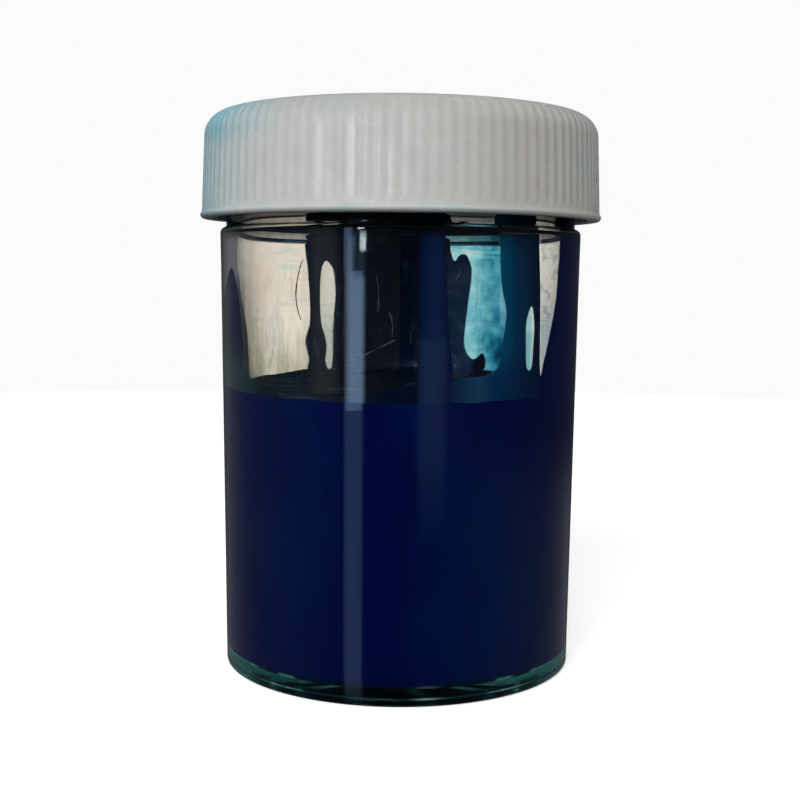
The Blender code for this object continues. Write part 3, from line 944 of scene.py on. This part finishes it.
def make_strands(dark, pale):
    """One dark hair on the bare wall, and thin pale strands on the back coat that are painted glints
    along the folds in its skin."""
    hair = ((222.8, 52.4), (225.4, 50.0), (227.0, 47.4), (226.2, 45.4), (224.0, 43.6))
    make_strand("dried_strand", hair, 0.05 * MM, 0.10 * MM, dark)
    # Paths of the painted glints along the folds in the back coat's skin.
    folds = (
        ((160.3, 48.8), (157.8, 49.0), (155.4, 49.6), (153.6, 50.6)),
        ((160.4, 47.8), (159.2, 48.1), (158.6, 47.5)),
        ((158.8, 38.0), (157.2, 38.8), (155.2, 38.5), (154.8, 37.4), (156.4, 36.9)),
        ((190.0, 50.2), (188.6, 47.6), (189.2, 44.8)),
        ((184.6, 44.6), (182.4, 43.4), (183.2, 41.0)),
        ((203.0, 37.6), (197.0, 38.0), (190.0, 39.2), (182.0, 40.6)),
        ((156.2, 49.0), (155.2, 49.9), (154.4, 50.9)),
        ((157.6, 36.9), (158.9, 37.3), (159.2, 38.2)),
        ((176.0, 42.0), (175.0, 41.2), (175.4, 40.2)),
    )
    for number, path in enumerate(folds, 1):
        make_strand(f"glint_strand_{number}", path, 0.52 * MM, 0.08 * MM, pale)


# ---------------------------------------------------------------- stage

FLOOR_RADIUS = 0.40
FLOOR_DROP = 0.05 * MM
AIM_Z = 45 * MM
REFLECTOR_DISTANCE = 0.60
CARD_SOFTNESS = 0.24
SKY = (0.40, 0.65, 1.0)
ROOM = (1.0, 0.95, 0.92)
CAMERA_DISTANCE = 168.4 * MM
CAMERA_HEIGHT = 50.0 * MM
CAMERA_PITCH = math.radians(5.535)
CAMERA_ROLL = math.radians(0.533)


def make_camera():
    """The camera: close to the jar, level with its shoulder, looking a little down."""
    data = bpy.data.cameras.new("camera")
    data.lens = 58.3
    data.sensor_width = 36.0
    data.shift_x = 0.0013
    data.shift_y = 0.0006
    data.clip_start = 0.01
    camera = linked("camera", data)
    turn = Matrix.Rotation(math.pi / 2 - CAMERA_PITCH, 4, "X") @ Matrix.Rotation(CAMERA_ROLL, 4, "Z")
    camera.matrix_world = Matrix.Translation((0.0, -CAMERA_DISTANCE, CAMERA_HEIGHT)) @ turn
    bpy.context.scene.camera = camera


def make_floor():
    """A plain pale floor that glows a little, as a light table does, so it stays pale in shade.
    The jar neither mirrors it, nor shows it through its walls, nor is lit by it."""
    bpy.ops.mesh.primitive_circle_add(
        vertices=96, radius=FLOOR_RADIUS, fill_type="NGON", location=(0, 0, -FLOOR_DROP))
    floor = bpy.context.object
    floor.name = "floor"
    m = Material("pale_floor", Roughness=0.9, Specular_IOR_Level=0.1)
    m.set("Base Color", m.blend(m.noise(30.0), (0.93, 0.93, 0.925), (0.90, 0.90, 0.90)))
    m.set("Emission Color", (1.0, 1.0, 1.0))
    m.set("Emission Strength", 0.55)
    floor.data.materials.append(m.material)
    floor.visible_glossy = False
    floor.visible_diffuse = False
    floor.visible_transmission = False


def area_light(name, bearing, middle, size, radiance, colour=(1.0, 1.0, 1.0)):
    """A rectangle of light that faces the jar's axis; middle is its (distance, height)."""
    data = bpy.data.lights.new(name, "AREA")
    data.shape = "RECTANGLE"
    data.size, data.size_y = size
    data.energy = radiance * math.pi * size[0] * size[1]
    data.color = colour
    lamp = linked(name, data)
    lamp.location = at_bearing(bearing, *middle)
    aim = Vector((0.0, 0.0, AIM_Z)) - lamp.location
    lamp.rotation_euler = aim.to_track_quat("-Z", "Y").to_euler()
    lamp.visible_camera = False
    return lamp


def reflector(name, bearings, heights, radiance, colour, fade=0.0):
    """An upright card between two bearings and two heights that shows only in reflections and
    through the clear plastic. Its sides fade, and its foot fades over a share of its height."""
    middle = (REFLECTOR_DISTANCE, sum(heights) / 2)
    width = 2 * REFLECTOR_DISTANCE * math.tan(math.radians(bearings[1] - bearings[0]) / 2)
    size = (width, heights[1] - heights[0])
    card = area_light(name, sum(bearings) / 2, middle, size, radiance, colour)
    aim = Vector((-card.location.x, -card.location.y, 0.0))
    card.rotation_euler = aim.to_track_quat("-Z", "Y").to_euler()
    card.visible_diffuse = False
    soften(card.data, CARD_SOFTNESS, fade)


def soften(light, edge, foot):
    """Fade a rectangular light towards its sides and its foot, over these shares of its size."""
    light.use_nodes = True
    tree = light.node_tree
    across = tree.nodes.new("ShaderNodeSeparateXYZ")
    tree.links.new(tree.nodes.new("ShaderNodeNewGeometry").outputs["Parametric"], across.inputs[0])
    u = Field(tree, across.outputs["X"])
    strength = u.rise(0.0, edge) * u.rise(1.0 - edge, 1.0, 1.0, 0.0)
    if foot:
        strength = strength * Field(tree, across.outputs["Y"]).rise(0.0, foot)
    tree.links.new(strength.socket, tree.nodes["Emission"].inputs["Strength"])


def make_world():
    """A pale studio. What shows through the clear walls is warm; what the jar mirrors is dark in
    front of it and on its right, and a little brighter behind."""
    world = bpy.data.worlds.new("studio")
    world.use_nodes = True
    tree = world.node_tree
    path = tree.nodes.new("ShaderNodeLightPath")
    direction = tree.nodes.new("ShaderNodeSeparateXYZ")
    tree.links.new(tree.nodes.new("ShaderNodeTexCoord").outputs["Generated"], direction.inputs[0])
    behind = Field(tree, direction.outputs["Y"]) * 0.5 + 0.5
    mirrored = behind.ramp([
        (0.0, (0.004, 0.012, 0.024)),
        (0.30, (0.03, 0.07, 0.11)),
        (0.70, (0.07, 0.08, 0.09)),
        (0.92, (0.13, 0.13, 0.14)),
        (1.0, (0.02, 0.02, 0.02)),
    ])
    right_side = Field(tree, direction.outputs["X"]).rise(0.10, 0.40)
    level = Field(tree, direction.outputs["Z"]).rise(-0.20, -0.12)
    mirrored = mixed(tree, right_side * level, mirrored, (0.030, 0.036, 0.046))
    bounced = Field(tree, path.outputs["Glossy Depth"]).math("GREATER_THAN", 0.5)
    scattered = Field(tree, path.outputs["Diffuse Depth"]).math("GREATER_THAN", 0.5)
    seen_through = Field(tree, path.outputs["Is Transmission Ray"])
    colour = mixed(tree, seen_through, (0.96, 0.96, 0.96), (0.98, 0.90, 0.80))
    colour = mixed(tree, bounced, colour, mirrored)
    colour = mixed(tree, scattered, colour, (0.20, 0.20, 0.20))
    tree.links.new(colour.socket, tree.nodes["Background"].inputs["Color"])
    bpy.context.scene.world = world


def make_lights():
    """A soft key at the front left, a fill on the right, one behind, a weak overhead, and cards
    for the window whose reflection runs down the jar: its panes, the bar between them, a lamp
    behind it, its sill, and the dim room beside it."""
    key = area_light("key", -18.0, (0.48, 0.38), (0.34, 0.34), 7.1)
    fill = area_light("fill", 85.0, (0.60, 0.20), (0.40, 0.40), 1.2)
    back = area_light("back", 180.0, (0.60, 0.20), (0.50, 0.40), 1.5)
    for lamp in (key, fill, back):
        lamp.visible_glossy = False
    back.visible_transmission = False
    area_light("overhead", 0.0, (0.10, 0.75), (0.60, 0.60), 0.12)
    reflector("window_left", (-34.5, -28.2), (0.036, 0.32), 1.6, SKY)
    reflector("window_bar", (-28.2, -20.8), (0.036, 0.104), 0.25, SKY)
    reflector("lamp", (-26.4, -21.4), (0.105, 0.32), 14.0, (0.75, 0.90, 1.0), fade=0.12)
    reflector("window_low", (-34.5, -20.8), (-0.040, 0.036), 2.3, SKY)
    reflector("sill", (-35.0, -20.5), (-0.34, -0.040), 0.66, SKY, fade=0.5)
    reflector("room_left", (-60.0, -36.0), (-0.030, 0.30), 0.12, ROOM)
    reflector("room_right", (9.0, 31.0), (-0.13, 0.0), 0.20, SKY, fade=0.6)
    bpy.context.scene.view_settings.view_transform = "Standard"


# ---------------------------------------------------------------- assembly

make_camera()
make_floor()
make_world()
make_lights()

# Each carries a painted grey sheen round the left; the paint's surface also has painted pale highlights.
air_paint = paint_in_air(
    "navy_paint_coat", ((0.001, 0.006, 0.050), (0.002, 0.014, 0.090)),
    grey=(0.055, 0.055, 0.068), grey_from=-155.0, gloss=0.16, rough=(0.10, 0.30))
still_paint = paint_in_air(
    "navy_paint_surface", ((0.001, 0.008, 0.050), (0.004, 0.016, 0.080)),
    grey=(0.030, 0.030, 0.040), grey_from=-20.0, gloss=0.02, rough=(0.42, 0.62), highlight_share=0.8)
wall_paint = paint_on_wall("navy_paint_on_wall", (0.0, 0.0030, 0.088), (0.0006, 0.0130, 0.104))
left_paint = graded_paint_on_wall("left_paint_on_wall", [
    (-80.0, (0.055, 0.062, 0.075)), (-72.0, (0.036, 0.050, 0.075)), (-67.0, (0.002, 0.012, 0.080)),
    (-60.0, (0.004, 0.014, 0.070)),
], [
    (-72.0, (0.045, 0.100, 0.120)), (-60.0, (0.030, 0.070, 0.088)), (-48.0, (0.010, 0.018, 0.034)),
])
front_paint = graded_paint_on_wall("front_paint_on_wall", [
    (4.5, (0.0002, 0.001, 0.014)), (9.5, (0.004, 0.024, 0.100)), (12.0, (0.008, 0.026, 0.105)),
    (16.0, (0.001, 0.010, 0.070)),
])
right_paint = graded_paint_on_wall("teal_paint_on_wall", [
    (30.0, (0.0, 0.150, 0.29)), (35.0, (0.0, 0.098, 0.230)), (39.0, (0.0005, 0.056, 0.150)),
    (44.0, (0.0050, 0.042, 0.110)), (49.0, (0.003, 0.014, 0.050)),
], [
    (15.0, (0.003, 0.020, 0.095)), (24.0, (0.018, 0.082, 0.180)), (31.0, (0.0005, 0.048, 0.150)),
    (49.0, (0.0, 0.016, 0.072)),
])

jar = make_jar(clear_wall(), stained_bore())
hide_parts("jar_body")
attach(jar, "jar")

cap = make_cap(white_cap())
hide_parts("screw_cap")
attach(cap, "cap")

liner = make_liner(liner_foam())
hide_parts("cap_liner")
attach(liner, "liner")

paint = make_paint(still_paint, wall_paint)
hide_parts("paint_fill")
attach(paint, "jar")

make_coats(air_paint, wall_paint, left_paint, front_paint, right_paint)
make_strands(air_paint, fold_glint_paint())
